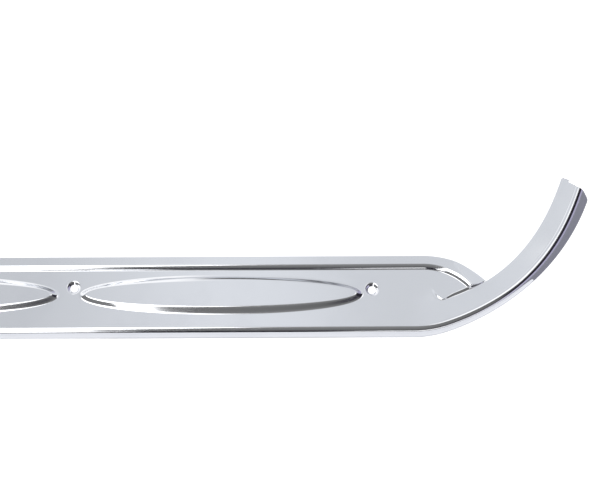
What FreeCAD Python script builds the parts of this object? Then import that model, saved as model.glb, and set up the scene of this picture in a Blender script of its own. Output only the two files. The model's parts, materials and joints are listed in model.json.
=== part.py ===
"""Door sill scuff plate with a curved arm: one pressing in thin bright stainless sheet.

Row frame, millimetres: +X along the plate towards the arm, +Y inboard, +Z up.
The origin is midway between the two end screw holes, level with their upper rims. Heights in
this file are from the upper face of the flat field until the finished sheet is moved up.
"""
import FreeCAD, Part
import math
import os
from FreeCAD import Vector

# ---- driving dimensions ------------------------------------------------------------------
SHEET = 0.8                 # sheet thickness
BURIED = SHEET / 2          # how far one formed piece reaches into the next before fusing

LEFT_X = -354.0             # the plain end
CORNER_R = 6.0              # its inboard corner
FLANGE_Y = 24.6             # inboard edge of the flange
SKIRT_Y = -32.6             # outer face of the skirt
FLANGE_RISE = 2.5           # flange above the field
STEP_MIDDLE_Y = 16.9        # middle of the step from the flange down to the field
STEP_CREST_R = 4.5          # radius of the roll at the top of the step
STEP_FOOT_R = 0.8           # radius at the foot of the step
SKIRT_DROP = 11.5           # skirt's lower edge below the shoulder's crest
SHOULDER_R = 5.0            # roll between the field and the skirt
FOOT_R = 2.5                # hollow fillet between the bead and the strip
BEAD_PROUD = 0.05           # the shoulder stands this little above the field

OVAL_PITCH = 218.0
OVAL_COUNT = 3
OVAL_Y = -3.6
OVAL_LENGTH = 202.0
OVAL_WIDTH = 28.8
OVAL_RISE = 2.6
OVAL_WALL = 4.3             # plan width of the wall around each oval
OVAL_POWER = 2.1            # superellipse power: a little blunter at the tips than an ellipse
OVAL_POINTS = 24            # spline points round each outline

INNER_HOLE_X = 112.0        # the two holes between the ovals
INNER_HOLE_Y = 2.2
END_HOLE_X = 326.0          # the two holes beyond the outer ovals
HOLE_R = 2.75
DIMPLE_R = 4.7
DIMPLE_DEPTH = 1.8

ROUND_X = 363.0             # where the inboard edge starts its round end
OUTLINE_R = 65.0            # outer edge of the round end
STEP_ROUND_R = 42.0         # foot of the step in the round end
ROUND_SWEEP = 80.0          # degrees of it that are made, past where the seam cuts it off
ROUND_SPARE = 20.0          # flange made past the outline before it is trimmed
ROUND_OVERLAP = 6.0         # field made inside the step before it meets the flat
KINK = Vector(398.4, 12.3, 0)       # on the outer edge, where the end of the flange bends down

FAN_X = 334.0               # where the arm's strip starts to sink below the field
FAN_WIDTH = 21.0            # plan width of the strip there
SEAM_STEPS = 11             # spans in the wall from there to the kink
RIM_SECTIONS = (3, 3, 3, 7)  # sections in each span of the rim
BEND_1_X = 354.8            # where the outer edge leaves the straight
BEND_1_R = 77.0
BEND_1_TURN = 19.0          # degrees
ARM_R = 187.6
ARM_TURN = 68.3             # degrees, to the arm's end
ROOT_SINK = 1.0             # strip below the field where the arm leaves the plate
TIP_SINK = 3.5              # and at the arm's end
TIP_BEAD = 0.35             # crest of the bead above the strip at the arm's end
BEAD_TURNS = (10.0, 50.0)   # the bead grows between these two headings
TIP_CREST_R = 6.0           # radius over the bead at the arm's end
TIP_SKEW = 8.0              # degrees that the arm's end is cut off square
TAB_WIDTH = 5.0             # small tab folded down from the end of the strip
TAB_EDGE = 0.8              # from the strip's inboard edge to the tab
TAB_REACH = 0.2             # flat of the tab before its fold
TAB_FOLD_R = 1.2
TAB_FOLD = 80.0             # degrees
TAB_DROP = 1.2              # flat of the tab after its fold
ROOT_WIDTH = 19.1           # arm's plan width at the notch
TIP_WIDTH = 24.5            # and at its end
TIP_FLARE = 33.0            # degrees that the skirt leans out at the arm's end
PINCH = Vector(377.0, -8.2, 0)      # start of the wall between the strip and the field
NOTCH = Vector(408.8, 6.1, 0)       # where the round end meets the arm

UP = Vector(0, 0, 1)


# ---- small helpers -----------------------------------------------------------------------
def blend(low, high, value):
    """0 below low, 1 above high, with a smooth rise between."""
    t = min(max((value - low) / (high - low), 0.0), 1.0)
    return t * t * (3 - 2 * t)


def bend_angle(drop, radii):
    """Degrees that two opposite arcs, of radii that add up to this, turn to fall by drop."""
    return math.degrees(math.acos(1 - drop / radii))


def sheet_face_points(start, heading, moves):
    """Both faces of a bent strip: a list of (kind, upper points, lower points).

    A move is ("run", length) or ("bend", upper radius, degrees), where positive degrees turn
    to the left. The upper face is on the left of the way along the strip.
    """
    x, z = start
    spans = []
    for kind, *size in moves:
        a = math.radians(heading)
        normal = (-math.sin(a), math.cos(a))
        if kind == "run":
            steps = [(x, z, heading), (x + size[0] * math.cos(a), z + size[0] * math.sin(a), heading)]
        else:
            radius, degrees = size
            side = math.copysign(1, degrees)
            cx = x + side * radius * normal[0]
            cz = z + side * radius * normal[1]
            steps = []
            for part in (0, 0.5, 1):
                h = heading + degrees * part
                b = math.radians(h)
                steps.append((cx + side * radius * math.sin(b), cz - side * radius * math.cos(b), h))
        upper = [(p[0], p[1]) for p in steps]
        lower = [(p[0] + SHEET * math.sin(math.radians(p[2])),
                  p[1] - SHEET * math.cos(math.radians(p[2]))) for p in steps]
        spans.append((kind, upper, lower))
        x, z, heading = steps[-1]
    return spans


def sheet_wire(start, heading, moves, place):
    """Closed wire round a bent strip's section, put in space by place(across, height)."""
    spans = sheet_face_points(start, heading, moves)
    edges = []
    for kind, upper, lower in spans:
        edges.append(span_edge(kind, upper, place))
    edges.append(span_edge("run", [spans[-1][1][-1], spans[-1][2][-1]], place))
    for kind, upper, lower in reversed(spans):
        edges.append(span_edge(kind, lower[::-1], place))
    edges.append(span_edge("run", [spans[0][2][0], spans[0][1][0]], place))
    return Part.Wire(edges)


def span_edge(kind, points, place):
    ends = [place(*p) for p in points]
    if kind == "run":
        return Part.LineSegment(ends[0], ends[-1]).toShape()
    return Part.Arc(*ends).toShape()


def prism(corners, low, high):
    """Upright prism on straight-sided plan corners."""
    ring = [Vector(x, y, low) for x, y in corners]
    face = Part.Face(Part.makePolygon(ring + ring[:1]))
    return face.extrude(UP * (high - low))


# ---- the outer edge, as stations ---------------------------------------------------------
class Station:
    """A place on the outer edge: point, inward normal, and length from where the fan starts."""

    def __init__(self, length):
        straight = BEND_1_X - FAN_X
        bend_1 = BEND_1_R * math.radians(BEND_1_TURN)
        self.length = length
        centre = Vector(BEND_1_X, SKIRT_Y + BEND_1_R, 0)
        if length <= straight:
            self.turn = 0.0
            self.point = Vector(FAN_X + length, SKIRT_Y, 0)
        elif length <= straight + bend_1:
            self.turn = math.degrees((length - straight) / BEND_1_R)
            self.point = centre - self.inward() * BEND_1_R
        else:
            self.turn = BEND_1_TURN
            centre = centre + self.inward() * (ARM_R - BEND_1_R)
            self.turn += math.degrees((length - straight - bend_1) / ARM_R)
            self.point = centre - self.inward() * ARM_R

    def inward(self):
        a = math.radians(self.turn)
        return Vector(-math.sin(a), math.cos(a), 0)

    def along(self):
        return self.inward().cross(UP)

    def place(self, across, height):
        return self.point + self.inward() * across + UP * height


def length_beside(target):
    """Length along the outer edge of the station that looks at this point."""
    low, high = 0.0, ARM_LENGTH
    for _ in range(40):
        middle = (low + high) / 2
        station = Station(middle)
        if (target - station.point).dot(station.along()) > 0:
            low = middle
        else:
            high = middle
    return low


ARM_LENGTH = (BEND_1_X - FAN_X + BEND_1_R * math.radians(BEND_1_TURN)
              + ARM_R * math.radians(ARM_TURN - BEND_1_TURN))
PINCH_LENGTH = length_beside(PINCH)
NOTCH_LENGTH = length_beside(NOTCH)
KINK_LENGTH = length_beside(KINK)


def strip_height(length):
    """Height of the strip, which sinks below the field where the arm leaves the plate."""
    root = ROOT_SINK * blend(0, KINK_LENGTH, length)
    return -root - (TIP_SINK - ROOT_SINK) * blend(NOTCH_LENGTH, ARM_LENGTH, length)


def bead_height(length):
    """How far the shoulder's crest stands above the strip."""
    return BEAD_PROUD + (TIP_BEAD - BEAD_PROUD) * blend(*BEAD_TURNS, Station(length).turn)


def inner_width(length):
    """Plan width from the outer edge to the strip's inboard edge."""
    if length < PINCH_LENGTH:
        pinch = Station(PINCH_LENGTH)
        return FAN_WIDTH + ((PINCH - pinch.point).Length - FAN_WIDTH) * length / PINCH_LENGTH
    if length < NOTCH_LENGTH:
        share = (length - PINCH_LENGTH) / (NOTCH_LENGTH - PINCH_LENGTH)
        width = (PINCH - Station(PINCH_LENGTH).point).Length
        return width + (ROOT_WIDTH - width) * share
    return ROOT_WIDTH + (TIP_WIDTH - ROOT_WIDTH) * blend(NOTCH_LENGTH, ARM_LENGTH, length)


# ---- sections ----------------------------------------------------------------------------
def rim_section(length, width):
    """Start, heading and moves from the skirt's lower edge, over the bead, to this width."""
    tipward = blend(NOTCH_LENGTH, ARM_LENGTH, length)
    flare = TIP_FLARE * tipward
    crest_r = SHOULDER_R + (TIP_CREST_R - SHOULDER_R) * tipward
    lean = math.radians(flare)
    riser = bend_angle(bead_height(length), crest_r + FOOT_R)
    climb = (SKIRT_DROP - crest_r * (1 - math.sin(lean))) / math.cos(lean)
    used = (climb * math.sin(lean) + crest_r * math.cos(lean)
            + (crest_r + FOOT_R) * math.sin(math.radians(riser)))
    moves = [("run", climb), ("bend", crest_r, flare - 90 - riser), ("bend", FOOT_R, riser),
             ("run", width - used)]
    crest = strip_height(length) + bead_height(length)
    return (0.0, crest - SKIRT_DROP), 90 - flare, moves


STEP_TURN = bend_angle(FLANGE_RISE, STEP_CREST_R + STEP_FOOT_R)
STEP_RUN = (STEP_CREST_R + STEP_FOOT_R) * math.sin(math.radians(STEP_TURN))
FOOT_Y = STEP_MIDDLE_Y - STEP_RUN / 2


def step_moves(field_run, flange_run):
    """From the field, up the step and out along the flange."""
    return [("run", field_run), ("bend", STEP_FOOT_R, STEP_TURN),
            ("bend", STEP_CREST_R, -STEP_TURN), ("run", flange_run)]


def straight_tread():
    """The straight length, skirt to flange, as one extrusion."""
    start, heading, moves = rim_section(0.0, FAN_WIDTH)
    field_run = FOOT_Y - (SKIRT_Y + FAN_WIDTH)
    moves = moves + step_moves(field_run, FLANGE_Y - FOOT_Y - STEP_RUN)
    wire = sheet_wire(start, heading, moves, lambda y, z: Vector(LEFT_X, SKIRT_Y + y, z))
    return Part.Face(wire).extrude(Vector(FAN_X - LEFT_X, 0, 0))


def rim_lofts():
    """The shoulder, skirt and strip beyond the straight, round to the arm's end."""
    cuts = [0.0, BEND_1_X - FAN_X, PINCH_LENGTH, NOTCH_LENGTH, ARM_LENGTH]
    solids = []
    for low, high, count in zip(cuts, cuts[1:], RIM_SECTIONS):
        wires = []
        for i in range(count):
            station = Station(low + (high - low) * i / (count - 1))
            width = inner_width(station.length)
            start, heading, moves = rim_section(station.length, width)
            wires.append(sheet_wire(start, heading, moves, station.place))
        solids.append(Part.makeLoft(wires, True, False))
    solids[-1] = solids[-1].cut(beyond_tip())
    return solids


def beyond_tip():
    """Everything past the arm's end, which is cut a little off square."""
    station = Station(ARM_LENGTH)
    corner = station.place(TIP_WIDTH, 0)
    cut = FreeCAD.Rotation(UP, -TIP_SKEW).multVec(station.inward() * -1)
    along = station.along()
    reach = 2 * TIP_WIDTH
    ring = [corner - cut * reach, corner + cut * reach, corner + cut * reach + along * reach,
            corner - cut * reach + along * reach]
    return prism([(p.x, p.y) for p in ring], -reach, reach)


def seam_lengths():
    """Where the seam between the strip and the field is sampled, from the fan to the notch."""
    return [KINK_LENGTH * i / SEAM_STEPS for i in range(SEAM_STEPS + 1)] + [NOTCH_LENGTH]


def seam_points(grow):
    """Plan points of the strip's inboard edge from the fan to the notch, moved inboard by grow."""
    return [Station(length).place(inner_width(length) + grow, 0) for length in seam_lengths()]


def wall_top(length):
    """Upper edge of the seam wall: inside the field, up under the flange, down at the notch."""
    if length < KINK_LENGTH:
        return -BURIED / 2 + FLANGE_RISE * blend(KINK_LENGTH - STEP_RUN, KINK_LENGTH, length)
    share = (length - KINK_LENGTH) / (NOTCH_LENGTH - KINK_LENGTH)
    top = FLANGE_RISE - BURIED / 2
    return top + (strip_height(length) + BURIED / 2 - top) * share


def seam_wall():
    """The wall that joins the sunken strip to the field and flange above it."""
    wires = []
    lengths = seam_lengths()
    for length, outer, inner in zip(lengths, seam_points(-BURIED), seam_points(BURIED)):
        bottom = strip_height(length) - BURIED
        top = wall_top(length)
        corners = [Vector(p.x, p.y, z) for p, z in
                   ((outer, bottom), (inner, bottom), (inner, top), (outer, top))]
        wires.append(Part.makePolygon(corners + corners[:1]))
    return Part.makeLoft(wires, True, True)


def round_end():
    """Field and flange beyond the straight: the raised edge follows a round end to the notch."""
    centre = Vector(ROUND_X, FOOT_Y - STEP_ROUND_R, 0)
    start_y = seam_points(0)[0].y - ROUND_OVERLAP
    moves = step_moves(FOOT_Y - start_y, FLANGE_Y - FOOT_Y - STEP_RUN)
    wire = sheet_wire((start_y, 0), 0, moves, lambda y, z: Vector(FAN_X, y, z))
    straight = Part.Face(wire).extrude(Vector(ROUND_X - FAN_X, 0, 0))

    moves = step_moves(ROUND_OVERLAP, ROUND_SPARE)
    start_r = STEP_ROUND_R - ROUND_OVERLAP
    wire = sheet_wire((start_r, 0), 0, moves, lambda r, z: centre + Vector(0, r, z))
    turned = Part.Face(wire).revolve(centre, UP * -1, ROUND_SWEEP)
    outline = Part.makeCylinder(OUTLINE_R, 2 * OUTLINE_R,
                                Vector(ROUND_X, FLANGE_Y - OUTLINE_R, -OUTLINE_R))
    turned = turned.common(outline)
    field = Part.makeCylinder(start_r, SHEET, centre - UP * SHEET, UP)
    whole = straight.fuse([turned, field])

    seam = [(p.x, p.y) for p in seam_points(-BURIED)[:-1]]
    kink = Station(KINK_LENGTH).place(OUTLINE_R, 0)
    keep = prism(seam + [(kink.x, kink.y), (FAN_X, kink.y)], -OUTLINE_R, OUTLINE_R)
    return whole.common(keep)


def notch_tab():
    """The flange's end, bent down from the kink to the strip at the notch."""
    wires = []
    kink_width = (KINK - Station(KINK_LENGTH).point).Length
    ends = ((KINK_LENGTH - BURIED, kink_width, FLANGE_RISE),
            (NOTCH_LENGTH, ROOT_WIDTH + 2 * BURIED, strip_height(NOTCH_LENGTH) + BURIED))
    for length, width, height in ends:
        station = Station(length)
        low = inner_width(length) - BURIED
        corners = [station.place(across, z) for across, z in
                   ((low, height), (width, height), (width, height - SHEET), (low, height - SHEET))]
        wires.append(Part.makePolygon(corners + corners[:1]))
    return Part.makeLoft(wires, True, True)


def tip_tab():
    """Small tab folded down at the end of the arm's strip."""
    station = Station(ARM_LENGTH)
    moves = [("run", TAB_FOLD_R + TAB_REACH), ("bend", TAB_FOLD_R, -TAB_FOLD), ("run", TAB_DROP)]
    edge = station.place(TIP_WIDTH - TAB_EDGE, strip_height(ARM_LENGTH)) - station.along() * TAB_FOLD_R
    wire = sheet_wire((0, 0), 0, moves, lambda x, z: edge + station.along() * x + UP * z)
    return Part.Face(wire).extrude(station.inward() * -TAB_WIDTH)


def left_corner():
    """The sliver outside the rounded inboard corner of the plain end."""
    centre = Vector(LEFT_X + CORNER_R, FLANGE_Y - CORNER_R, -CORNER_R)
    square = Part.makeBox(CORNER_R, CORNER_R, 2 * CORNER_R, centre - Vector(CORNER_R, 0, 0))
    return square.cut(Part.makeCylinder(CORNER_R, 2 * CORNER_R, centre))


def superellipse(length, width, height, centre):
    """Closed outline of one oval: blunter than an ellipse at its tips."""
    power = 2 / OVAL_POWER
    points = []
    for i in range(OVAL_POINTS):
        a = 2 * math.pi * i / OVAL_POINTS
        x = math.copysign(abs(math.cos(a)) ** power, math.cos(a)) * length / 2
        y = math.copysign(abs(math.sin(a)) ** power, math.sin(a)) * width / 2
        points.append(centre + Vector(x, y, height))
    curve = Part.BSplineCurve()
    curve.interpolate(Points=points, PeriodicFlag=True)
    return Part.Wire([curve.toShape()])


def oval_frustum(centre, inset, low, high):
    wires = []
    for height, wall in ((low, 0), (high, OVAL_WALL)):
        shrink = 2 * (inset + wall)
        wires.append(superellipse(OVAL_LENGTH - shrink, OVAL_WIDTH - shrink, height, centre))
    return Part.makeLoft(wires, True, True)


def oval_pair(centre):
    """The raised oval and the hollow under it."""
    inset = SHEET * math.tan(math.atan2(OVAL_RISE, OVAL_WALL) / 2)
    return (oval_frustum(centre, 0, 0, OVAL_RISE),
            oval_frustum(centre, inset, -SHEET, OVAL_RISE - SHEET))


def dimple_pair(centre):
    """The metal of one dimple, and the funnel and hole cut from it."""
    spread = SHEET * math.tan(math.atan2(DIMPLE_DEPTH, DIMPLE_R - HOLE_R) / 2)
    metal = Part.makeCone(DIMPLE_R + spread, HOLE_R + spread, DIMPLE_DEPTH,
                          centre - UP * SHEET, UP * -1)
    funnel = Part.makeCone(DIMPLE_R, HOLE_R, DIMPLE_DEPTH, centre, UP * -1)
    hole = Part.makeCylinder(HOLE_R, 4 * DIMPLE_DEPTH, centre + UP, UP * -1)
    return metal, funnel.fuse(hole)


def hole_centres():
    return [Vector(side * x, y, 0) for side in (-1, 1)
            for x, y in ((INNER_HOLE_X, INNER_HOLE_Y), (END_HOLE_X, 0.0))]


def sill_plate():
    tread = straight_tread()
    body = tread.fuse(rim_lofts() + [seam_wall(), round_end(), notch_tab(), tip_tab()])
    ovals = [oval_pair(Vector(OVAL_PITCH * (i - (OVAL_COUNT - 1) / 2), OVAL_Y, 0))
             for i in range(OVAL_COUNT)]
    dimples = [dimple_pair(centre) for centre in hole_centres()]
    body = body.fuse([pair[0] for pair in ovals + dimples])
    body = body.cut([pair[1] for pair in ovals + dimples] + [left_corner()])
    return body.removeSplitter().translated(UP * DIMPLE_DEPTH)


def main():
    os.makedirs("parts", exist_ok=True)
    shape = sill_plate()
    print("valid", shape.isValid(), "solids", len(shape.Solids), "volume", round(shape.Volume, 1))
    shape.Solids[0].exportStep("parts/sill_plate.step")


if __name__ == "__main__":
    main()
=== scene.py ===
"""Looks of the door sill scuff plate: a fine mesh of the pressed sheet, in polished stainless.

The sheet is described the way it is pressed. Its deck is a height over the plan, and its rim is a
section that rides along the outer edge. Both give the upper face, and the lower face is one sheet
thickness behind it. All lengths are in metres, in the row frame.
"""
import math
import json

import bpy
import numpy as np
from mathutils import Matrix, Vector, geometry


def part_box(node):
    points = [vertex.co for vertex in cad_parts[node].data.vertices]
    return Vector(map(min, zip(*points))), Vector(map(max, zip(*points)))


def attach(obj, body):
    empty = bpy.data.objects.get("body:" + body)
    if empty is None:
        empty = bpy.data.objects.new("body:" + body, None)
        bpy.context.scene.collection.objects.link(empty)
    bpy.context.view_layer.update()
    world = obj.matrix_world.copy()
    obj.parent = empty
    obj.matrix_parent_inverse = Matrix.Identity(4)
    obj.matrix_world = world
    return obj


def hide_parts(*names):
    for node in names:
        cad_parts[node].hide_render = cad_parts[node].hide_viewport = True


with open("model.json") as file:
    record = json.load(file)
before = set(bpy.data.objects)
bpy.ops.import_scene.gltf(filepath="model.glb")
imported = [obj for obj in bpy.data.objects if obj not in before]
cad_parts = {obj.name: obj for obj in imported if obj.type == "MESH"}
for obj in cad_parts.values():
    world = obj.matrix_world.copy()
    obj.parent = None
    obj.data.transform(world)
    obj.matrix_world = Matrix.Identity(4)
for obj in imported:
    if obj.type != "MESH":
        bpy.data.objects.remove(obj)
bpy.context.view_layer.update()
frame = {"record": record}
MM = 0.001


# ---- driving dimensions, as the CAD part has them ----------------------------------------
def mount(name):
    return next(m for m in frame["record"]["mounts"] if m["name"] == name)


def hole_centres():
    """Plan centres of all screw holes, from the record's mounts."""
    centres = []
    for name in ("end_screw_holes", "inner_screw_holes"):
        pattern = mount(name)
        half = pattern["dims"]["spacing_x_mm"] * MM / 2
        for side in (-1, 1):
            centres.append((pattern["pos_m"][0] + side * half, pattern["pos_m"][1]))
    return centres


LOW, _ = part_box("sill_plate")
SHEET = 0.8 * MM
HOLE_R = mount("end_screw_holes")["dims"]["hole_r_mm"] * MM
DIMPLE_R = 4.7 * MM
DIMPLE_DEPTH = 1.8 * MM

LEFT_X = LOW.x
CORNER_R = 6 * MM
FLANGE_Y = 24.6 * MM
SKIRT_Y = LOW.y
FLANGE_RISE = 2.5 * MM
STEP_CREST_R = 4.5 * MM
STEP_FOOT_R = 0.8 * MM
STEP_MIDDLE_Y = 16.9 * MM
SKIRT_DROP = 11.5 * MM
LIP_OUT = 0.35 * MM         # the skirt's lower edge turns out by this
LIP_UP = 0.55 * MM          # over this height
SHOULDER_R = 5 * MM
FOOT_R = 2.5 * MM

OVAL_PITCH = 218 * MM
OVAL_COUNT = 3
OVAL_Y = -3.6 * MM
OVAL_LENGTH = 202 * MM
OVAL_WIDTH = 28.8 * MM
OVAL_RISE = 2.6 * MM
OVAL_WALL = 4.3 * MM
OVAL_POWER = 2.1

ROUND_X = 363 * MM
OUTLINE_R = 65 * MM
STEP_ROUND_R = 42 * MM
ROUND_SWEEP = math.radians(80)

FAN_X = 334 * MM
BEND_1_X = 354.8 * MM
BEND_1_R = 77 * MM
BEND_1_TURN = math.radians(19)
ARM_R = 187.6 * MM
ARM_TURN = math.radians(68.3)
ROOT_SINK = 1.0 * MM
TIP_SINK = 3.5 * MM
TIP_BEAD = 0.35 * MM
BEAD_TURNS = (math.radians(10), math.radians(50))
BEAD_PROUD = 0.03 * MM
TIP_CREST_R = 6 * MM
TIP_FLARE = math.radians(33)
TIP_SKEW = math.radians(8)
FAN_WIDTH = 21 * MM
ROOT_WIDTH = 19.1 * MM
TIP_WIDTH = 24.5 * MM
PINCH = (377 * MM, -8.2 * MM)
NOTCH = (408.8 * MM, 6.1 * MM)
KINK = (398.4 * MM, 12.3 * MM)
WALL_RUN = 0.7 * MM         # plan width of the formed wall at both ends of the seam
WALL_SPREAD = 1.7 * MM      # and how much wider it is between them
WALL_OPENS = 10 * MM        # length over which it widens, and over which it narrows again
FAN_RUN = 14 * MM           # plan width of the soft crease where the fan starts
PINCH_RUN = 8 * MM          # length before the pinch over which the crease tightens into the wall
TAIL_RUN = 9 * MM           # the flange starts to come down to the strip this far before the kink
OVAL_ROUND = 0.55           # share of an oval's wall that its corners take
DIMPLE_ROUND = 0.65         # share of a dimple's slope that its rim takes
TAB_WIDTH = 5 * MM
TAB_EDGE = 0.8 * MM
TAB_REACH = 0.2 * MM
TAB_FOLD_R = 1.2 * MM
TAB_FOLD = math.radians(80)
TAB_DROP = 1.2 * MM
BREAK = 0.12 * MM           # the broken corners of every cut edge


# ---- the outer edge ----------------------------------------------------------------------
FAN_S = FAN_X - BEND_1_X
BEND_1_S = BEND_1_R * BEND_1_TURN
ARM_S = BEND_1_S + ARM_R * (ARM_TURN - BEND_1_TURN)
BEND_1_CENTRE = (BEND_1_X, SKIRT_Y + BEND_1_R)
ARM_CENTRE = (BEND_1_CENTRE[0] - (ARM_R - BEND_1_R) * math.sin(BEND_1_TURN),
              BEND_1_CENTRE[1] + (ARM_R - BEND_1_R) * math.cos(BEND_1_TURN))


def blend(low, high, value):
    """0 below low, 1 above high, with a smooth rise between."""
    t = np.clip((np.asarray(value) - low) / (high - low), 0, 1)
    return t * t * (3 - 2 * t)


def turn_at(s):
    """Heading of the outer edge, s metres past the start of the first bend."""
    s = np.asarray(s, float)
    return np.where(s < 0, 0, np.where(s < BEND_1_S, s / BEND_1_R,
                                       BEND_1_TURN + (s - BEND_1_S) / ARM_R))


def plan_point(s, across):
    """Plan x and y of the point this far inboard of the outer edge."""
    s = np.asarray(s, float)
    turn = turn_at(s)
    straight = s < 0
    first = (s >= 0) & (s < BEND_1_S)
    centre_x = np.where(straight, BEND_1_X + s, np.where(first, BEND_1_CENTRE[0], ARM_CENTRE[0]))
    centre_y = np.where(straight, SKIRT_Y, np.where(first, BEND_1_CENTRE[1], ARM_CENTRE[1]))
    radius = np.where(straight, 0, np.where(first, BEND_1_R, ARM_R)) - across
    return centre_x + radius * np.sin(turn), centre_y - radius * np.cos(turn)


def along_and_across(x, y):
    """The inverse of plan_point, for points on the deck."""
    x, y = np.asarray(x, float), np.asarray(y, float)
    dx, dy = x - BEND_1_CENTRE[0], BEND_1_CENTRE[1] - y
    first = np.arctan2(dx, dy)
    ax, ay = x - ARM_CENTRE[0], ARM_CENTRE[1] - y
    later = np.arctan2(ax, ay)
    s = np.where(first < BEND_1_TURN, first * BEND_1_R, BEND_1_S + (later - BEND_1_TURN) * ARM_R)
    across = np.where(first < BEND_1_TURN, BEND_1_R - np.hypot(dx, dy), ARM_R - np.hypot(ax, ay))
    straight = dx < 0
    return np.where(straight, dx, s), np.where(straight, y - SKIRT_Y, across)


PINCH_S, PINCH_WIDTH = (float(v) for v in along_and_across(*PINCH))
NOTCH_S = float(along_and_across(*NOTCH)[0])
KINK_S = float(along_and_across(*KINK)[0])
TAIL_S = KINK_S - TAIL_RUN


def inner_width(s):
    """Plan width of the strip: to the seam before the notch, and to the free edge after it."""
    s = np.asarray(s, float)
    fan = FAN_WIDTH + (PINCH_WIDTH - FAN_WIDTH) * blend(FAN_S, PINCH_S, s)
    root = PINCH_WIDTH + (ROOT_WIDTH - PINCH_WIDTH) * np.clip((s - PINCH_S) / (NOTCH_S - PINCH_S), 0, 1)
    arm = (TIP_WIDTH - ROOT_WIDTH) * blend(NOTCH_S, ARM_S, s)
    return np.where(s < PINCH_S, fan, root) + arm


def wall_run(s):
    """Plan width of the rise from the strip to the field."""
    spread = blend(PINCH_S, PINCH_S + WALL_OPENS, s) * (1 - blend(KINK_S - WALL_OPENS, KINK_S, s))
    run = WALL_RUN + WALL_SPREAD * spread
    return FAN_RUN + (run - FAN_RUN) * blend(PINCH_S - PINCH_RUN, PINCH_S, s)


def strip_height(s):
    return -ROOT_SINK * blend(FAN_S, KINK_S, s) - (TIP_SINK - ROOT_SINK) * blend(NOTCH_S, ARM_S, s)


def bead_height(s):
    return BEAD_PROUD + (TIP_BEAD - BEAD_PROUD) * blend(*BEAD_TURNS, turn_at(s))


# ---- the rim: skirt, bead and fillet -----------------------------------------------------
def rim_sizes(s):
    """Flare, crest radius, riser angle, skirt length, lip and plan width used, along the edge."""
    tipward = blend(NOTCH_S, ARM_S, s)
    flare = TIP_FLARE * tipward
    crest_r = SHOULDER_R + (TIP_CREST_R - SHOULDER_R) * tipward
    riser = np.arccos(1 - bead_height(s) / (crest_r + FOOT_R))
    lip = LIP_OUT * (1 - tipward)
    fall = SKIRT_DROP - crest_r * (1 - np.sin(flare)) + lip * np.sin(flare)
    climb = fall / np.cos(flare)
    used = (climb * np.sin(flare) + lip * np.cos(flare) + crest_r * np.cos(flare)
            + (crest_r + FOOT_R) * np.sin(riser))
    return flare, crest_r, riser, climb, lip, used


def rim_point(s, t):
    """Upper face of the rim: t is 0..1 up the skirt, 1..2 over the crest and 2..3 in the fillet."""
    flare, crest_r, riser, climb, lip, _ = rim_sizes(s)
    top = strip_height(s) + bead_height(s)
    up = np.clip(t, 0, 1) * climb
    turned_in = lip * (1 - (1 - np.clip(up / LIP_UP, 0, 1)) ** 2)
    across = up * np.sin(flare) + turned_in * np.cos(flare)
    height = top - SKIRT_DROP + up * np.cos(flare) - turned_in * np.sin(flare)
    first = math.pi / 2 - flare
    heading = first - np.clip(t - 1, 0, 1) * (first + riser)
    across = across + crest_r * (np.sin(first) - np.sin(heading))
    height = height + crest_r * (np.cos(heading) - np.cos(first))
    rest = -riser * (1 - np.clip(t - 2, 0, 1))
    filled = t > 2
    across = across + np.where(filled, FOOT_R * (np.sin(rest) + np.sin(riser)), 0)
    height = height + np.where(filled, FOOT_R * (np.cos(riser) - np.cos(rest)), 0)
    x, y = plan_point(s, across)
    return np.stack([x, y, height + 0 * x], -1)


# ---- the deck: field, flange, ovals, dimples and strip -----------------------------------
STEP_TURN = math.acos(1 - FLANGE_RISE / (STEP_CREST_R + STEP_FOOT_R))
STEP_RUN = (STEP_CREST_R + STEP_FOOT_R) * math.sin(STEP_TURN)
STEP_FOOT_Y = STEP_MIDDLE_Y - STEP_RUN / 2
ROUND_CENTRE_Y = STEP_FOOT_Y - STEP_ROUND_R
OUTLINE_CENTRE_Y = FLANGE_Y - OUTLINE_R


def step_height(beyond):
    """Height of the flange's step, this far beyond its foot."""
    foot_run = STEP_FOOT_R * math.sin(STEP_TURN)
    foot = STEP_FOOT_R - np.sqrt(np.maximum(STEP_FOOT_R ** 2 - np.clip(beyond, 0, foot_run) ** 2, 0))
    left = np.clip(STEP_RUN - beyond, 0, STEP_RUN - foot_run)
    crest = FLANGE_RISE - STEP_CREST_R + np.sqrt(STEP_CREST_R ** 2 - left ** 2)
    return np.where(beyond < foot_run, foot, crest)


def beyond_step(x, y):
    """Distance past the foot of the step, along the straight and round the end."""
    return np.where(x < ROUND_X, y - STEP_FOOT_Y,
                    np.hypot(x - ROUND_X, y - ROUND_CENTRE_Y) - STEP_ROUND_R)


HALVINGS = 18


def oval_level(x, y):
    """0 on an oval's outline and 1 on the edge of its raised face, worked out by halving."""
    low = np.full(np.shape(x), -1.0)
    high = np.full(np.shape(x), 2.0)
    for _ in range(HALVINGS):
        middle = (low + high) / 2
        a = OVAL_LENGTH / 2 - middle * OVAL_WALL
        b = OVAL_WIDTH / 2 - middle * OVAL_WALL
        inside = (np.abs(x) / a) ** OVAL_POWER + (np.abs(y) / b) ** OVAL_POWER < 1
        low = np.where(inside, middle, low)
        high = np.where(inside, high, middle)
    return (low + high) / 2


def eased(t, share):
    """0 below 0 and t above it, with the corner rounded over this share."""
    t = t + share / 2
    return np.where(t <= 0, 0, np.where(t < share, t ** 2 / (2 * share), t - share / 2))


def oval_centres():
    return [OVAL_PITCH * (i - (OVAL_COUNT - 1) / 2) for i in range(OVAL_COUNT)]


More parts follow.
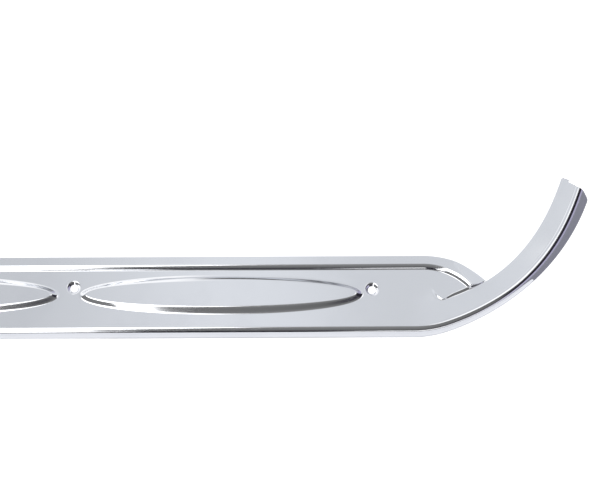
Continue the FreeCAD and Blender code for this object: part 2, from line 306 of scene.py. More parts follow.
def deck_height(x, y):
    """Upper face of everything inboard of the rim."""
    s, across = along_and_across(x, y)
    north = step_height(beyond_step(x, y))
    for centre in oval_centres():
        near = np.abs(x - centre) < OVAL_LENGTH / 2 + OVAL_WALL
        level = oval_level(x[near] - centre, y[near] - OVAL_Y)
        north[near] += OVAL_RISE * (eased(level, OVAL_ROUND) - eased(level - 1, OVAL_ROUND))
    for cx, cy in hole_centres():
        inward = (DIMPLE_R - np.hypot(x - cx, y - cy)) / (DIMPLE_R - HOLE_R)
        north -= DIMPLE_DEPTH * np.minimum(eased(inward, DIMPLE_ROUND), 1)
    strip = strip_height(s)
    risen = np.where(s < FAN_S, 1, blend(0, wall_run(s), across - inner_width(s)))
    bent = 1 - blend(TAIL_S, NOTCH_S, s)
    return strip + (north - strip) * risen * bent


# ---- sampling the sheet ------------------------------------------------------------------
STRAIGHT_STEP = 6 * MM      # spacing of points where the plate is straight
END_STEP = 3 * MM           # across its plain left end
BEND_STEP = 1.4 * MM        # round the bends of both edges
ROUND_STEP = 1.2 * MM       # round the end of the flange's step
ARM_STEP = 2 * MM           # along the arm and inside the strip
CUT_STEP = 1 * MM           # across the cut at the arm's end
SEAM_STEP = 0.8 * MM        # along the seam wall
PINCH_STEP = 0.5 * MM       # round the pinch
LATTICE_STEP = 3 * MM       # over the flats
PINCH_GAP = 0.25 * MM       # loose points closer than these to another are left out
LATTICE_GAP = 1.6 * MM
HOLE_GAP = 0.1 * MM
LINE_MARGIN = 1 * MM        # lines stop this far from a cut edge, and go this far past a dimple
LATTICE_MARGIN = 2 * MM     # the lattice starts this far inside the flats
FLAT_MARGIN = 0.6 * MM      # the flats beside the flange's step keep a line this far from it
OVAL_MARGIN = 0.05          # and the oval's and the seam's, these shares of their walls
SEAM_MARGIN = 0.1
PINCH_X = (-7 * MM, 9 * MM)     # reach of the close points, either side of the pinch
PINCH_Y = (-4 * MM, 6 * MM)
STRIP_SHARES = np.linspace(0.12, 0.95, 8)
OVAL_POINTS = 168
HOLE_POINTS = 48
OVAL_RINGS = 22
DIMPLE_RINGS = 11
SEAM_LINES = 7
STEP_FOOT_LINES = 4
STEP_CREST_LINES = 12
CORNER_POINTS = 9
TIP_COLUMNS = 12
TIP_LENGTH = 18 * MM
SKIRT_CORNER_R = 2.4 * MM
LIP_SHARE = 0.12            # share of the skirt's height with the lip's close rows
LIP_ROWS = 7
SKIRT_ROWS = 5
CREST_ROWS = 21
FILLET_ROWS = 9
RIM_ROWS = np.concatenate([np.linspace(0, LIP_SHARE, LIP_ROWS),
                           np.linspace(LIP_SHARE, 1, SKIRT_ROWS)[1:],
                           np.linspace(1, 2, CREST_ROWS)[1:], np.linspace(2, 3, FILLET_ROWS)[1:]])


def spaced(low, high, step):
    """Evenly spaced values from low to high, no further apart than step."""
    return np.linspace(low, high, max(2, int(math.ceil((high - low) / step)) + 1))


def edge_stations():
    """Places along the outer edge: sparse on the straight, close in the fan and the bends."""
    parts = [spaced(LEFT_X - BEND_1_X, FAN_S, STRAIGHT_STEP),
             spaced(FAN_S, ARM_S - TIP_LENGTH, BEND_STEP),
             spaced(ARM_S - TIP_LENGTH, ARM_S, TIP_LENGTH / TIP_COLUMNS)]
    return np.unique(np.round(np.concatenate(parts), 9))


def trimmed(s, across, height_up):
    """Moves stations near the arm's end back to its skewed cut and its rounded skirt corner."""
    share = blend(ARM_S - TIP_LENGTH, ARM_S, s)
    back = (TIP_WIDTH - across) * math.tan(TIP_SKEW) * ARM_R / (ARM_R - across)
    corner = np.clip(SKIRT_CORNER_R - height_up, 0, SKIRT_CORNER_R)
    back = back + SKIRT_CORNER_R - np.sqrt(SKIRT_CORNER_R ** 2 - corner ** 2)
    return s - back * share


def rim_grid():
    """Places (s, t) of the rim's points, as two arrays of rows by stations."""
    s, t = np.meshgrid(edge_stations(), RIM_ROWS)
    flare, crest_r, _, climb, _, used = rim_sizes(s)
    leaning = climb * np.sin(flare)
    across = np.where(t < 1, t * leaning, leaning + (used - leaning) * (t - 1) / 2)
    return trimmed(s, across, np.where(t < 1, t * climb, SKIRT_DROP)), t


def foot_line():
    """Plan points where the fillet meets the deck."""
    s, t = rim_grid()
    return rim_point(s[-1], t[-1])[:, :2]


def tip_cut():
    """Plan points across the arm's end, from the foot line to the inboard corner, and the tab's."""
    start = foot_line()[-1]
    low = float(along_and_across(*start)[1])
    tab_high = TIP_WIDTH - TAB_EDGE
    tab_low = tab_high - TAB_WIDTH
    across = np.concatenate([spaced(low, tab_low, CUT_STEP)[1:],
                             spaced(tab_low, tab_high, CUT_STEP)[1:],
                             spaced(tab_high, TIP_WIDTH, CUT_STEP)[1:]])
    corner = np.array(plan_point(ARM_S, TIP_WIDTH))
    share = (across - low) / (TIP_WIDTH - low)
    on_tab = (across > tab_low - BREAK) & (across < tab_high + BREAK)
    return start + (corner - start) * share[:, None], np.flatnonzero(on_tab)


def outline():
    """Plan points of the deck's edge, from the foot line's far end round to its start."""
    cut = tip_cut()[0]
    arm_s = spaced(NOTCH_S, ARM_S, ARM_STEP)[::-1][1:]
    arm = np.stack(plan_point(arm_s, inner_width(arm_s)), -1)
    notch_turn = math.atan2(arm[-1][0] - ROUND_X, arm[-1][1] - OUTLINE_CENTRE_Y)
    turns = spaced(0, notch_turn, BEND_STEP / OUTLINE_R)[::-1][1:]
    round_end = np.stack([ROUND_X + OUTLINE_R * np.sin(turns),
                          OUTLINE_CENTRE_Y + OUTLINE_R * np.cos(turns)], -1)
    xs = spaced(LEFT_X + CORNER_R, ROUND_X, STRAIGHT_STEP)[::-1][1:]
    straight = np.stack([xs, np.full_like(xs, FLANGE_Y)], -1)
    a = np.linspace(0, math.pi / 2, CORNER_POINTS)[1:]
    corner = np.stack([LEFT_X + CORNER_R - CORNER_R * np.sin(a),
                       FLANGE_Y - CORNER_R + CORNER_R * np.cos(a)], -1)
    ys = spaced(foot_line()[0][1], FLANGE_Y - CORNER_R, END_STEP)[::-1][1:-1]
    left = np.stack([np.full_like(ys, LEFT_X), ys], -1)
    return np.concatenate([cut, arm, round_end, straight, corner, left])


def ring(cx, cy, rx, ry, power, count):
    """Closed plan ring, evenly spaced in angle of the superellipse."""
    a = np.linspace(0, 2 * math.pi, count, endpoint=False)
    c, s = np.cos(a), np.sin(a)
    x = np.sign(c) * np.abs(c) ** (2 / power) * rx
    y = np.sign(s) * np.abs(s) ** (2 / power) * ry
    return np.stack([cx + x, cy + y], -1)


def step_line(beyond):
    """Plan line this far past the foot of the step, along the straight and round the end."""
    xs = spaced(LEFT_X + LINE_MARGIN, ROUND_X, STRAIGHT_STEP)
    straight = np.stack([xs, np.full_like(xs, STEP_FOOT_Y + beyond)], -1)
    radius = STEP_ROUND_R + beyond
    a = spaced(0, ROUND_SWEEP, ROUND_STEP / radius)[1:]
    return np.concatenate([straight, np.stack([ROUND_X + radius * np.sin(a),
                                               ROUND_CENTRE_Y + radius * np.cos(a)], -1)])


def seam_line(share):
    """Plan line along the seam wall, from its foot (0) to its top (1)."""
    s = spaced(PINCH_S - PINCH_RUN, NOTCH_S - LINE_MARGIN, SEAM_STEP)
    return np.stack(plan_point(s, inner_width(s) + share * wall_run(s)), -1)


def feature_lines():
    """Plan lines that the triangles have to follow: the step's, the seam's, then closed ones."""
    foot_run = STEP_FOOT_R * math.sin(STEP_TURN)
    beyond = np.concatenate([[-FLAT_MARGIN], np.linspace(0, foot_run, STEP_FOOT_LINES),
                             np.linspace(foot_run, STEP_RUN, STEP_CREST_LINES)[1:],
                             [STEP_RUN + FLAT_MARGIN]])
    step_lines = [step_line(distance) for distance in beyond]
    seam_lines = [seam_line(share) for share in np.linspace(-SEAM_MARGIN, 1 + SEAM_MARGIN, SEAM_LINES)]
    closed_lines = []
    margin = OVAL_ROUND / 2 + OVAL_MARGIN
    for centre in oval_centres():
        for level in np.linspace(-margin, 1 + margin, OVAL_RINGS):
            closed_lines.append(ring(centre, OVAL_Y, OVAL_LENGTH / 2 - level * OVAL_WALL,
                                     OVAL_WIDTH / 2 - level * OVAL_WALL, OVAL_POWER, OVAL_POINTS))
    for cx, cy in hole_centres():
        for radius in np.linspace(HOLE_R, DIMPLE_R + LINE_MARGIN, DIMPLE_RINGS)[1:]:
            closed_lines.append(ring(cx, cy, radius, radius, 2, HOLE_POINTS))
    return step_lines, seam_lines, closed_lines


def loose_points():
    """Plan points with no lines between them: close ones at the pinch, then a coarse lattice."""
    px, py = np.meshgrid(spaced(*PINCH_X, PINCH_STEP), spaced(*PINCH_Y, PINCH_STEP))
    close = np.stack([PINCH[0] + px.ravel(), PINCH[1] + py.ravel()], -1)
    coarse = []
    for share in STRIP_SHARES:
        s = spaced(FAN_S, ARM_S - LINE_MARGIN, ARM_STEP)
        used = rim_sizes(s)[-1]
        coarse.append(np.stack(plan_point(s, used + share * (inner_width(s) - used)), -1))
    gx, gy = np.meshgrid(spaced(LEFT_X + LATTICE_MARGIN, NOTCH[0], LATTICE_STEP),
                         spaced(SKIRT_Y + SHOULDER_R + LATTICE_MARGIN, FLANGE_Y - LATTICE_MARGIN,
                                LATTICE_STEP))
    coarse.append(np.stack([gx.ravel(), gy.ravel()], -1))
    return close, np.concatenate(coarse)


INSIDE_ONLY = 1             # the triangulation keeps what its outline encloses
SAME_POINT = 1e-6           # points closer than this, in millimetres, are one
PROBE = 0.02 * MM           # slopes are measured over this, either side of a point
PROBE_SHARE = 0.01          # and over this share of a piece of the rim's section


def inside(points, loop):
    """Whether each point is inside a closed loop, by counting crossings."""
    x, y = points[:, 0], points[:, 1]
    result = np.zeros(len(points), bool)
    for (x0, y0), (x1, y1) in zip(loop, np.roll(loop, -1, axis=0)):
        if y0 != y1:
            crosses = ((y0 > y) != (y1 > y)) & (x < (x1 - x0) * (y - y0) / (y1 - y0) + x0)
            result ^= crosses
    return result


def thinned(kept, loose, gap):
    """Adds to the kept points the loose ones that are at least gap from every other."""
    cells = {}
    for x, y in kept:
        cells.setdefault((int(x // gap), int(y // gap)), []).append((x, y))
    added = []
    for x, y in loose:
        cx, cy = int(x // gap), int(y // gap)
        near = (q for ax in (-1, 0, 1) for ay in (-1, 0, 1) for q in cells.get((cx + ax, cy + ay), ()))
        if all(math.hypot(x - q[0], y - q[1]) >= gap for q in near):
            cells.setdefault((cx, cy), []).append((x, y))
            added.append((x, y))
    return np.concatenate([kept, np.array(added)])


def chain(start, count, closed):
    """Edges between numbered points in a row."""
    return [(start + i, start + (i + 1) % count) for i in range(count if closed else count - 1)]


def deck_mesh():
    """Triangles of the deck in plan. The first points are the foot line's, then the outline's."""
    foot = foot_line()
    loop = np.concatenate([foot, outline()])
    holes = [ring(cx, cy, HOLE_R, HOLE_R, 2, HOLE_POINTS) for cx, cy in hole_centres()]
    step_lines, seam_lines, closed_lines = feature_lines()
    lines = [(loop, True)] + [(line, True) for line in holes + closed_lines]
    for line in step_lines:
        s, across = along_and_across(*line.T)
        lines.append((line[inside(line, loop) & (across > inner_width(s))], False))
    lines += [(line[inside(line, loop)], False) for line in seam_lines]
    edges, points = [], []
    for line, closed in lines:
        edges += chain(sum(len(p) for p in points), len(line), closed)
        points.append(line)
    points = np.concatenate(points)
    for loose, gap in zip(loose_points(), (PINCH_GAP, LATTICE_GAP)):
        loose = loose[inside(loose, loop)]
        for cx, cy in hole_centres():
            loose = loose[np.hypot(loose[:, 0] - cx, loose[:, 1] - cy) > HOLE_R + HOLE_GAP]
        points = thinned(points, loose, gap)
    plan = [Vector(p) * (1 / MM) for p in points]
    verts, _, faces, _, _, _ = geometry.delaunay_2d_cdt(plan, edges, [], INSIDE_ONLY, SAME_POINT)
    verts = np.array([v[:] for v in verts]) * MM
    faces = np.array([f[:] for f in faces])
    middles = verts[faces].mean(1)
    for circle in holes:
        filled = inside(middles, circle)
        faces, middles = faces[~filled], middles[~filled]
    return verts, faces, len(foot)


def deck_normal(x, y):
    """Unit normal of the deck's upper face."""
    slope_x = (deck_height(x + PROBE, y) - deck_height(x - PROBE, y)) / (2 * PROBE)
    slope_y = (deck_height(x, y + PROBE) - deck_height(x, y - PROBE)) / (2 * PROBE)
    return unit(np.stack([-slope_x, -slope_y, np.ones_like(x)], -1))


def rim_normal(s, t):
    """Unit normal of the rim's upper face."""
    along = rim_point(s + PROBE, t) - rim_point(s - PROBE, t)
    piece = np.minimum(np.floor(t), 2)
    up = (rim_point(s, np.clip(t + PROBE_SHARE, piece, piece + 1))
          - rim_point(s, np.clip(t - PROBE_SHARE, piece, piece + 1)))
    return unit(np.cross(along, up))


def unit(v):
    return v / np.linalg.norm(v, axis=-1, keepdims=True)


def upper_face():
    """Points, normals and faces of the whole upper face, seen from above as anticlockwise."""
    plan, deck_faces, count = deck_mesh()
    x, y = plan[:, 0], plan[:, 1]
    points = [np.stack([x, y, deck_height(x, y)], -1)]
    normals = [deck_normal(x, y)]
    s, t = rim_grid()
    rows = len(RIM_ROWS)
    points.append(rim_point(s[:-1], t[:-1]).reshape(-1, 3))
    normals.append(rim_normal(s[:-1], t[:-1]).reshape(-1, 3))
    index = np.arange((rows - 1) * count).reshape(rows - 1, count) + len(plan)
    index = np.concatenate([index, np.arange(count)[None]])
    quads = np.stack([index[:-1, :-1], index[:-1, 1:], index[1:, 1:], index[1:, :-1]], -1)
    faces = [tuple(f) for f in deck_faces] + [tuple(q) for q in quads.reshape(-1, 4)]

    roots = tip_cut()[1] + count
    tab_points, tab_normals = tab_rows(points[0][roots])
    start = sum(len(p) for p in points)
    grid = np.arange(tab_points.shape[0] * len(roots)).reshape(-1, len(roots)) + start
    grid = np.concatenate([roots[None], grid])
    points.append(tab_points.reshape(-1, 3))
    normals.append(tab_normals.reshape(-1, 3))
    quads = np.stack([grid[:-1, :-1], grid[1:, :-1], grid[1:, 1:], grid[:-1, 1:]], -1)
    faces += [tuple(q) for q in quads.reshape(-1, 4)]
    return np.concatenate(points), np.concatenate(normals), faces


def tab_rows(roots):
    """The small tab beyond the arm's end: out, over its fold and down, from these root points."""
    turn = ARM_TURN
    along = np.array([math.cos(turn), math.sin(turn), 0])
    end = np.array([*plan_point(ARM_S, TIP_WIDTH), 0])
    reach = TAB_REACH + (end - roots) @ along
    up = np.array([0, 0, 1])
    points, normals = [], []
    for share in (0.5, 1.0):
        points.append(roots + along * (reach * share)[:, None])
        normals.append(np.tile(up, (len(roots), 1)))
    for angle in np.linspace(0, TAB_FOLD, 9)[1:]:
        step = along * math.sin(angle) - up * (1 - math.cos(angle))
        points.append(points[1] + step * TAB_FOLD_R)
        normals.append(np.tile(along * math.sin(angle) + up * math.cos(angle), (len(roots), 1)))
    down = along * math.cos(TAB_FOLD) - up * math.sin(TAB_FOLD)
    points.append(points[-1] + down * TAB_DROP)
    normals.append(normals[-1])
    return np.array(points), np.array(normals)


def border(faces):
    """Directed edges with a face on their left only."""
    edges = {(f[i], f[(i + 1) % len(f)]) for f in faces for i in range(len(f))}
    return [e for e in sorted(edges) if (e[1], e[0]) not in edges]


def thick_sheet():
    """The upper face made into closed sheet, with the corners of its cut edges broken."""
    upper, normals, faces = upper_face()
    rim_edges = border(faces)
    heading = np.zeros_like(upper)
    for a, b in rim_edges:
        way = unit(upper[b] - upper[a])
        heading[a] += way
        heading[b] += way
    on_edge = np.array(sorted({a for a, _ in rim_edges}))
    outward = unit(np.cross(unit(heading[on_edge]), normals[on_edge]))
    edge_top = upper[on_edge] - normals[on_edge] * BREAK
    edge_low = upper[on_edge] - normals[on_edge] * (SHEET - BREAK)
    lower = upper - normals * SHEET
    upper[on_edge] -= outward * BREAK
    lower[on_edge] -= outward * BREAK

    total = len(upper)
    place = {v: i for i, v in enumerate(on_edge)}
    points = np.concatenate([upper, lower, edge_top, edge_low])
    every = [tuple(f) for f in faces] + [tuple(v + total for v in reversed(f)) for f in faces]
    shading = [normals[list(f)] for f in faces] + [-normals[list(reversed(f))] for f in faces]
    for a, b in rim_edges:
        top_a, top_b = 2 * total + place[a], 2 * total + place[b]
        low_a, low_b = top_a + len(on_edge), top_b + len(on_edge)
        bands = [(a, top_a, top_b, b), (top_a, low_a, low_b, top_b),
                 (low_a, a + total, b + total, low_b)]
        for band in bands:
            corners = points[list(band)]
            flat = unit(np.cross(corners[2] - corners[0], corners[3] - corners[1]))
            every.append(band)
            shading.append(np.tile(flat, (4, 1)))
    points[:, 2] += DIMPLE_DEPTH
    return points, every, np.concatenate(shading)


def make_sheet(name):
    """The mesh object, with the exact normals of the pressed surfaces."""
    points, faces, shading = thick_sheet()
    mesh = bpy.data.meshes.new(name)
    mesh.from_pydata([tuple(p) for p in points], [], faces)
    mesh.validate()
    mesh.shade_smooth()
    mesh.normals_split_custom_set([tuple(n) for n in shading])
    piece = bpy.data.objects.new(name, mesh)
    bpy.context.scene.collection.objects.link(piece)
    return piece


# ---- material ----------------------------------------------------------------------------
class Nodes:
    """A node tree with short calls for the nodes used here."""

    def __init__(self, tree):
        self.tree = tree
        tree.nodes.clear()

    def add(self, kind, inputs=None, **settings):
        node = self.tree.nodes.new(kind)
        for name, value in settings.items():
            setattr(node, name, value)
        for name, value in (inputs or {}).items():
            if isinstance(value, bpy.types.NodeSocket):
                self.tree.links.new(value, node.inputs[name])
            else:
                node.inputs[name].default_value = value
        return node

    def math(self, operation, *values):
        return self.add("ShaderNodeMath", dict(enumerate(values)), operation=operation).outputs[0]

    def ramp(self, value, low, high, to_low=0.0, to_high=1.0):
        """A smooth rise of value between low and high."""
        inputs = {"Value": value, "From Min": low, "From Max": high, "To Min": to_low, "To Max": to_high}
        return self.add("ShaderNodeMapRange", inputs, interpolation_type="SMOOTHSTEP").outputs[0]

    def fall(self, value, low, high):
        """A smooth fall from 1 to 0 as value goes from low to high."""
        return self.ramp(value, low, high, 1.0, 0.0)

    def product(self, first, *others):
        for other in others:
            first = self.math("MULTIPLY", first, other)
        return first

    def mix(self, share, first, second):
        inputs = {"Factor": share, "A": first, "B": second}
        node = self.add("ShaderNodeMix", data_type="RGBA")
        for socket in node.inputs:
            if socket.name in inputs and socket.enabled and socket.type in ("RGBA", "VALUE"):
                value = inputs[socket.name]
                if isinstance(value, bpy.types.NodeSocket):
                    self.tree.links.new(value, socket)
                else:
                    socket.default_value = value
        return next(o for o in node.outputs if o.enabled and o.type == "RGBA")

    def noise(self, vector, scale, detail=2.0, roughness=0.5):
        inputs = {"Vector": vector, "Scale": scale, "Detail": detail, "Roughness": roughness}
        return self.add("ShaderNodeTexNoise", inputs).outputs[0]

    def stretched(self, vector, scale):
        return self.add("ShaderNodeMapping", {"Vector": vector, "Scale": scale}).outputs[0]


STEEL = (0.74, 0.75, 0.775, 1.0)
STEEL_WORN = (0.66, 0.67, 0.70, 1.0)
GRAIN_STRETCH = (6.0, 160.0, 160.0)     # polishing lines run along X
GRAIN_SCALE = 12.0
SCRATCH_STRETCH = (25.0, 700.0, 700.0)
SCRATCH_SCALE = 3.0
SCRATCH_LEVELS = (0.70, 0.78)
SMUDGE_SCALE = 18.0
SMUDGE_LEVELS = (0.45, 0.75)
WAVE_STRETCH = (9.0, 22.0, 22.0)
WAVE_DEPTH = 1 * MM
WAVE_STRENGTH = 0.25
FINE_DEPTH = 0.02 * MM
FINE_STRENGTH = 0.12
SCRATCH_CUT = 0.8           # how deep scratches are beside the grain
WORN_SHARE = 0.5            # how far a worn patch goes towards the worn colour
ROUGHNESS = 0.06
ROUGHNESS_ADDED = 0.05      # by each of wear, grain and scratches


def polished_stainless():
    """Bright polished sheet: a soft grain, faint scratches, slight waves and duller worn patches."""
    material = bpy.data.materials.new("polished_stainless")
    material.use_nodes = True
    n = Nodes(material.node_tree)
    place = n.add("ShaderNodeTexCoord").outputs["Object"]
    grain = n.noise(n.stretched(place, GRAIN_STRETCH), GRAIN_SCALE, detail=4.0)
    scratches = n.noise(n.stretched(place, SCRATCH_STRETCH), SCRATCH_SCALE, detail=1.0)
    scratches = n.ramp(scratches, *SCRATCH_LEVELS)
    smudge = n.noise(place, SMUDGE_SCALE, detail=5.0, roughness=0.6)
    waves = n.noise(n.stretched(place, WAVE_STRETCH), 1.0, detail=1.0)

    worn = n.ramp(smudge, *SMUDGE_LEVELS)
    colour = n.mix(n.math("MULTIPLY", worn, WORN_SHARE), STEEL, STEEL_WORN)
    rough = ROUGHNESS
    for cause in (worn, grain, scratches):
        rough = n.math("ADD", n.math("MULTIPLY", cause, ROUGHNESS_ADDED), rough)
    wave_bump = n.add("ShaderNodeBump", {"Height": waves, "Strength": WAVE_STRENGTH,
                                         "Distance": WAVE_DEPTH})
    fine = n.math("SUBTRACT", grain, n.math("MULTIPLY", scratches, SCRATCH_CUT))
    bump = n.add("ShaderNodeBump", {"Height": fine, "Strength": FINE_STRENGTH,
                                    "Distance": FINE_DEPTH, "Normal": wave_bump.outputs[0]})
    shader = n.add("ShaderNodeBsdfPrincipled", {"Base Color": colour, "Metallic": 1.0,
                                                "Roughness": rough, "Normal": bump.outputs[0]})
    n.add("ShaderNodeOutputMaterial", {"Surface": shader.outputs[0]})
    return material


# ---- studio ------------------------------------------------------------------------------
# The metal's surroundings are given by direction. zenith is the angle from straight up and side the
# angle from straight ahead towards the right, both in degrees. aside (x / z) and ahead (-y / z) are
# distances to the right and to the front on a ceiling one unit up. Pairs are where a change starts
# and ends.
WHITE = (1.0, 1.0, 1.0)
COOL = (0.965, 0.99, 1.03)
VIOLET = (0.9, 0.85, 1.15)
LOWEST_Z = 0.02
FAR_LEFT = (-95, -80)       # side angles where the left of the studio starts, from behind
RIGHT_TURN = (20, 70)       # side angles over which the front gives way to the right

ROOM_STOPS = ((0, 0.45, WHITE), (10, 0.30, WHITE), (30, 0.235, WHITE), (56, 0.17, WHITE),
              (68, 0.05, VIOLET), (76, 0.02, VIOLET), (90, 0.02, VIOLET))   # zenith, radiance, tint
DARKER_TURN = (50, 68)      # side angles over which the room darkens, as if its stops moved up
DARKER_SHIFT = 24           # by this many degrees

STRIP_START = (0.8, 3.0)    # side angles
STRIP_MIDDLE = (82, 78)     # zenith of the low light strip, ahead and at the right
STRIP_REACH = (4, 14)       # and its half height, in degrees
STRIP_SWELL = 5.0           # between these two turns the strip's middle is higher by this
STRIP_GROWTH = 4.0          # and its half height larger by this
STRIP_SWELL_TURN = (1.5, 5)
STRIP_SHRINK_TURN = (20, 50)
STRIP_SOFT = (0.6, 1.0)
STRIP_AHEAD = 1.4
STRIP_RIGHT = 0.6

LEFT_END = (-26, -20)
LEFT_GREY = 0.24
WINDOW_GLOW = 3.0
WINDOW_END = (-11, -8)      # side angles of the window's right edge at WINDOW_UPRIGHT
WINDOW_UPRIGHT = 80.0       # zenith there
WINDOW_SLANT = 0.19         # degrees further left, for each degree higher
WINDOW_HIGHEST = (2, 8)
WINDOW_LOWEST = (48, 74)    # zenith at the left, and beside the right edge
WINDOW_LOWEST_TURN = (-24, -20)
WINDOW_SOFT = (0, 3)

PANEL_GLOW = (0.76, 0.97, 0.82, 0.89)                           # from left to right
PANEL_CHANGES = ((-0.27, -0.07), (-0.05, 0.09), (0.11, 0.20))   # x between them
PANEL_FRONT = (-0.15, 0.08)
PANEL_END = (1.6, 0.27)     # aside of the panel's right end, far behind and nearer
PANEL_END_TURN = (-0.60, -0.48)
PANEL_SOFT = (0.0, 0.09)
PANEL_LEFT = (-0.15, -0.11)
PANEL_LEFT_LOW = (68, 76)
PANEL_LEFT_GLOW = 1.7
PANEL_BACK = (-0.9, -0.6)
PANEL_BACK_X = (-0.14, -0.07)
PANEL_BACK_GLOW = 1.3
PANEL_LINE_LOW = (75, 80)
PANEL_LINE_X = (-0.12, -0.07)
PANEL_LINE_GLOW = 0.12

EDGE_GLOW = 1.5             # the bright light past the panel's right end
EDGE_X = (0.17, 0.22)
EDGE_INNER = (0.27, 0.31)
EDGE_OUTER = (0.60, 0.68)
EDGE_NEAR = (-0.30, -0.26)
EDGE_FRONT = (0.0, 0.06)
EDGE_BACK = (-0.50, -0.44)


def tinted(strength, tint):
    return (*(strength * part for part in tint), 1.0)


def dark_room(n, zenith, side):
    """The room in front: grey overhead, nearly black low down."""
    darker = n.ramp(side, *DARKER_TURN, 0, DARKER_SHIFT)
    room = n.add("ShaderNodeValToRGB", {"Fac": n.math("DIVIDE", n.math("ADD", zenith, darker), 90.0)})
    elements = room.color_ramp.elements
    while len(elements) < len(ROOM_STOPS):
        elements.new(0.5)
    for element, (degrees, strength, tint) in zip(elements, ROOM_STOPS):
        element.position = degrees / 90
        element.color = tinted(strength, tint)
    return room.outputs[0]


def add_strip(n, light, zenith, side):
    """A light strip low in front, which widens and turns violet to the right."""
    right = n.ramp(side, *RIGHT_TURN)
    swell = n.product(n.ramp(side, *STRIP_SWELL_TURN), n.fall(side, *STRIP_SHRINK_TURN))
    middle = n.math("SUBTRACT", n.ramp(right, 0, 1, *STRIP_MIDDLE), n.product(swell, STRIP_SWELL))
    reach = n.math("ADD", n.ramp(right, 0, 1, *STRIP_REACH), n.product(swell, STRIP_GROWTH))
    off = n.math("DIVIDE", n.math("ABSOLUTE", n.math("SUBTRACT", zenith, middle)), reach)
    on = n.product(n.fall(off, *STRIP_SOFT), n.ramp(side, *STRIP_START))
    return n.mix(on, light, n.mix(right, tinted(STRIP_AHEAD, WHITE), tinted(STRIP_RIGHT, VIOLET)))


def add_window(n, light, zenith, side):
    """A grey wall at the left, with a bright window whose right edge slants."""
    at_left = n.product(n.ramp(side, *FAR_LEFT), n.fall(side, *LEFT_END))
    light = n.mix(at_left, light, tinted(LEFT_GREY, WHITE))
    higher = n.math("SUBTRACT", WINDOW_UPRIGHT, zenith)
    slanted = n.math("ADD", side, n.product(higher, WINDOW_SLANT))
    lowest = n.ramp(side, *WINDOW_LOWEST_TURN, *WINDOW_LOWEST)
    above = n.fall(n.math("SUBTRACT", zenith, lowest), *WINDOW_SOFT)
    inside_it = n.product(n.fall(slanted, *WINDOW_END), n.ramp(side, *FAR_LEFT),
                          n.ramp(zenith, *WINDOW_HIGHEST), above)
    return n.mix(inside_it, light, tinted(WINDOW_GLOW, WHITE))


def add_panel(n, light, x, zenith, aside, ahead):
    """A large soft panel overhead and behind, brighter in places, with a dark line low down."""
    panel = tinted(PANEL_GLOW[0], COOL)
    for change, glow in zip(PANEL_CHANGES, PANEL_GLOW[1:]):
        panel = n.mix(n.ramp(x, *change), panel, tinted(glow, COOL))
    low_left = n.product(n.ramp(zenith, *PANEL_LEFT_LOW), n.fall(x, *PANEL_LEFT))
    panel = n.mix(low_left, panel, tinted(PANEL_LEFT_GLOW, WHITE))
    far_back = n.product(n.fall(x, *PANEL_BACK_X), n.fall(ahead, *PANEL_BACK))
    panel = n.mix(far_back, panel, tinted(PANEL_BACK_GLOW, WHITE))
    low_line = n.product(n.ramp(zenith, *PANEL_LINE_LOW), n.ramp(x, *PANEL_LINE_X))
    panel = n.mix(low_line, panel, tinted(PANEL_LINE_GLOW, WHITE))
    past_end = n.math("SUBTRACT", aside, n.ramp(ahead, *PANEL_END_TURN, *PANEL_END))
    in_panel = n.product(n.fall(ahead, *PANEL_FRONT), n.fall(past_end, *PANEL_SOFT))
    return n.mix(in_panel, light, panel)


def add_edge_light(n, light, x, aside, ahead):
    """A small bright light past the panel's right end and round its near corner."""
    round_corner = n.math("MAXIMUM", n.ramp(aside, *EDGE_INNER), n.ramp(ahead, *EDGE_NEAR))
    share = n.product(round_corner, n.ramp(x, *EDGE_X), n.fall(aside, *EDGE_OUTER),
                      n.fall(ahead, *EDGE_FRONT), n.ramp(ahead, *EDGE_BACK))
    return n.mix(share, light, tinted(EDGE_GLOW, WHITE))


def studio_world():
    """What the metal reflects. The camera itself sees plain white there."""
    world = bpy.data.worlds.new("studio")
    bpy.context.scene.world = world
    world.use_nodes = True
    n = Nodes(world.node_tree)
    direction = n.add("ShaderNodeTexCoord").outputs["Generated"]
    x, y, z = n.add("ShaderNodeSeparateXYZ", {0: direction}).outputs
    front = n.math("MULTIPLY", y, -1.0)
    zenith = n.math("DEGREES", n.math("ARCCOSINE", z))
    side = n.math("DEGREES", n.math("ARCTAN2", x, front))
    high = n.math("MAXIMUM", z, LOWEST_Z)
    aside = n.math("DIVIDE", x, high)
    ahead = n.math("DIVIDE", front, high)

    light = dark_room(n, zenith, side)
    light = add_strip(n, light, zenith, side)
    light = add_window(n, light, zenith, side)
    light = add_panel(n, light, x, zenith, aside, ahead)
    light = add_edge_light(n, light, x, aside, ahead)
    seen = n.add("ShaderNodeLightPath").outputs["Is Camera Ray"]
    light = n.mix(seen, light, tinted(1.0, WHITE))
    background = n.add("ShaderNodeBackground", {"Color": light, "Strength": 1.0})
    n.add("ShaderNodeOutputWorld", {"Surface": background.outputs[0]})


FLOOR_SIZE = 6.0
FLOOR_GAP = 3 * MM          # below the skirt
FLOOR_GLOW = 1.05
CARD_SIZE = 1.6
CARD_GAP = 2.25 * MM
CARD_TONE = (0.84, 0.85, 0.89)
FLAG_SIZE = 0.8
FLAG_TUCK = FLAG_SIZE / 10  # how far the flag reaches in under the arm
FLAG_GAP = 1.5 * MM
FLAG_TURN = math.radians(43)
FLAG_TONE = (0.105, 0.105, 0.15)
STAGE_TONE = (0.2, 0.2, 0.2)
STAGE_ROUGHNESS = 0.9


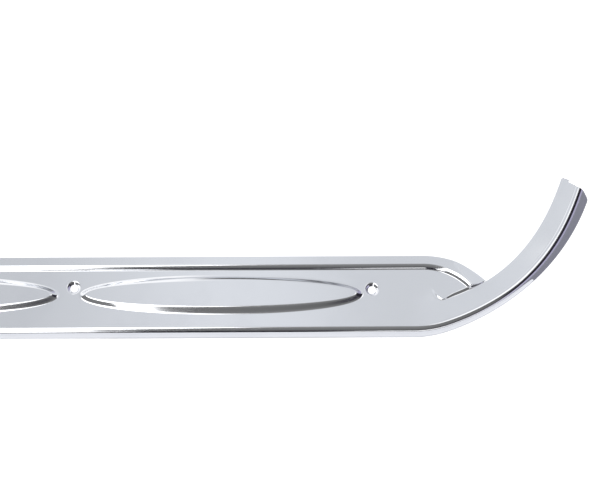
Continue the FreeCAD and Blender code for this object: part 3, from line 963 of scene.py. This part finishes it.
def stage_sheet(name, corners, height, colour, glow):
    """A flat horizontal sheet of the studio, lit from within."""
    mesh = bpy.data.meshes.new(name)
    mesh.from_pydata([(x, y, height) for x, y in corners], [], [range(len(corners))])
    sheet = bpy.data.objects.new(name, mesh)
    bpy.context.scene.collection.objects.link(sheet)
    material = bpy.data.materials.new(name)
    material.use_nodes = True
    n = Nodes(material.node_tree)
    shader = n.add("ShaderNodeBsdfPrincipled",
                   {"Base Color": (*STAGE_TONE, 1), "Roughness": STAGE_ROUGHNESS,
                    "Emission Color": (*colour, 1), "Emission Strength": glow})
    n.add("ShaderNodeOutputMaterial", {"Surface": shader.outputs[0]})
    mesh.materials.append(material)
    return sheet


def square(size):
    half = size / 2
    return [(-half, -half), (half, -half), (half, half), (-half, half)]


def white_floor():
    """A lit white table under the plate."""
    stage_sheet("floor", square(FLOOR_SIZE), LOW.z - FLOOR_GAP, WHITE, FLOOR_GLOW)


def seen_only_in_metal(card):
    card.visible_camera = False
    card.visible_diffuse = False
    card.visible_shadow = False


def table_card():
    """A duller card over the floor, seen only in the metal."""
    seen_only_in_metal(stage_sheet("card", square(CARD_SIZE), LOW.z - CARD_GAP, CARD_TONE, 1.0))


def dark_flag():
    """A dark card on the table beside the arm, seen only in the metal."""
    start = np.array(plan_point(BEND_1_S + ARM_R * (FLAG_TURN - BEND_1_TURN), 0))
    out = np.array([math.sin(FLAG_TURN), -math.cos(FLAG_TURN)]) * FLAG_SIZE
    on = np.array([math.cos(FLAG_TURN), math.sin(FLAG_TURN)]) * FLAG_SIZE
    tucked = start - out * (FLAG_TUCK / FLAG_SIZE)
    corners = [tucked, start + out, start + out + on, tucked + on]
    seen_only_in_metal(stage_sheet("flag", corners, LOW.z - FLAG_GAP, FLAG_TONE, 1.0))


CAMERA_DISTANCE = 800 * MM
CAMERA_AIM = (-51.55 * MM, 30.53 * MM)      # from the end hole near the arm
CAMERA_TILT = math.radians(22.0)
CAMERA_YAW = math.radians(-0.22)
CAMERA_ROLL = math.radians(-0.18)
CAMERA_LENS = 66.02


def studio_camera():
    """Looks down on the arm's half of the plate, from a little in front of it."""
    hole_x, hole_y = max(hole_centres())
    aim = Vector((hole_x + CAMERA_AIM[0], hole_y + CAMERA_AIM[1], DIMPLE_DEPTH))
    back = Vector((-math.sin(CAMERA_YAW), -math.sin(CAMERA_TILT) * math.cos(CAMERA_YAW),
                   math.cos(CAMERA_TILT) * math.cos(CAMERA_YAW))).normalized()
    level = Vector((0, 1, 0)).cross(back).normalized()
    upright = back.cross(level)
    right = level * math.cos(CAMERA_ROLL) + upright * math.sin(CAMERA_ROLL)
    up = upright * math.cos(CAMERA_ROLL) - level * math.sin(CAMERA_ROLL)
    data = bpy.data.cameras.new("camera")
    data.lens = CAMERA_LENS
    camera = bpy.data.objects.new("camera", data)
    turn = Matrix((right, up, back)).transposed().to_4x4()
    camera.matrix_world = Matrix.Translation(aim + back * CAMERA_DISTANCE) @ turn
    bpy.context.scene.collection.objects.link(camera)
    bpy.context.scene.camera = camera


# ---- build -------------------------------------------------------------------------------
plate = make_sheet("plate")
plate.data.materials.append(polished_stainless())
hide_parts("sill_plate")
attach(plate, "root")
white_floor()
table_card()
dark_flag()
studio_world()
studio_camera()
bpy.context.scene.view_settings.view_transform = "Standard"
